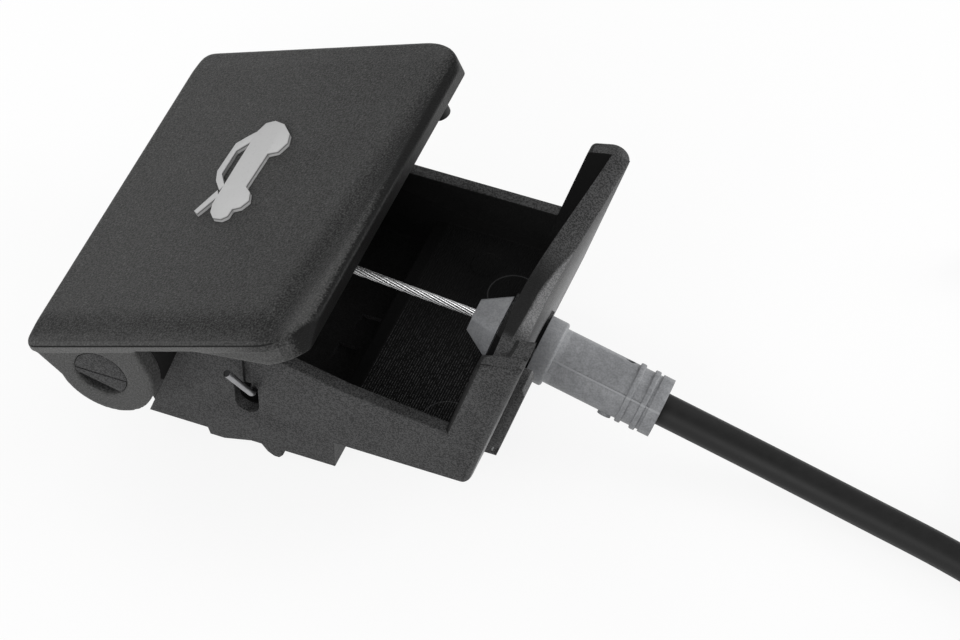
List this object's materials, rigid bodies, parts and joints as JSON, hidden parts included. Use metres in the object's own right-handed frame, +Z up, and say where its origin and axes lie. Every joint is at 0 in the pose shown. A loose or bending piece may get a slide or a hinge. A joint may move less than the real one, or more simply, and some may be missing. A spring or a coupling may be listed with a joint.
{
  "type": "bonnet release handle with cable",
  "caption": "Hinged pull handle on a moulded tray, with a snap-in Bowden cable whose free length is coiled beside it.",
  "frame": {"origin": "middle of the footprint of the handle assembly without its loose cable, on the plane that the housing's clip feet stand on", "axes": "+X from the handle's hinge towards the wall that holds the cable, +Y along the hinge, +Z up out of the tray"},
  "size_m": [0.2306, 0.0979, 0.043],
  "materials": {
    "housing_black": "fine grain",
    "handle_black": "fine leather-like grain",
    "symbol_silver": "satin silver paint",
    "buffer_rubber": "matte",
    "spring_steel": "oiled spring wire",
    "fitting_grey": "satin",
    "wire_steel": "stranded",
    "nipple_zinc": "cast zinc",
    "sheath_black": "smooth extruded jacket"
  },
  "bodies": {
    "base": {"housing": "housing_black", "return_spring": "spring_steel", "cable_fitting": "fitting_grey", "sheath_run": "sheath_black", "sheath_coil": "sheath_black", "sheath_tail": "sheath_black", "latch_fitting": "fitting_grey"},
    "pull_handle": {"handle": "handle_black", "bonnet_symbol": "symbol_silver", "stop_buffer_near": "buffer_rubber", "stop_buffer_far": "buffer_rubber"},
    "handle_wire": {"inner_wire_handle_end": "wire_steel", "handle_nipple": "nipple_zinc"},
    "latch_wire": {"inner_wire_latch_end": "wire_steel", "latch_nipple": "nipple_zinc"}
  },
  "joints": [
    {"name": "handle_hinge", "type": "hinge", "parent": "base", "child": "pull_handle", "pos_m": [-0.035, 0, 0.0208], "axis": [0, -1, 0], "range_deg": [-23, 17], "stiffness_Nm_per_rad": 0.18, "deforming": ["return_spring"]},
    {"name": "handle_wire_turn", "type": "hinge", "parent": "pull_handle", "child": "handle_wire", "pos_m": [-0.0197, -0.0032, 0.02621], "axis": [0, -1, 0], "range_deg": [-24, 32.5]},
    {"name": "latch_wire_slide", "type": "slide", "parent": "base", "child": "latch_wire", "axis": [0.9972, 0.0665, 0.0332], "range_m": [-0.0032, 0.0025]}
  ],
  "couplings": [
    {"joint": "handle_wire_turn", "follows": "handle_hinge", "ratio": -1.38},
    {"joint": "latch_wire_slide", "follows": "handle_hinge", "m_per_rad": 0.0072}
  ]
}
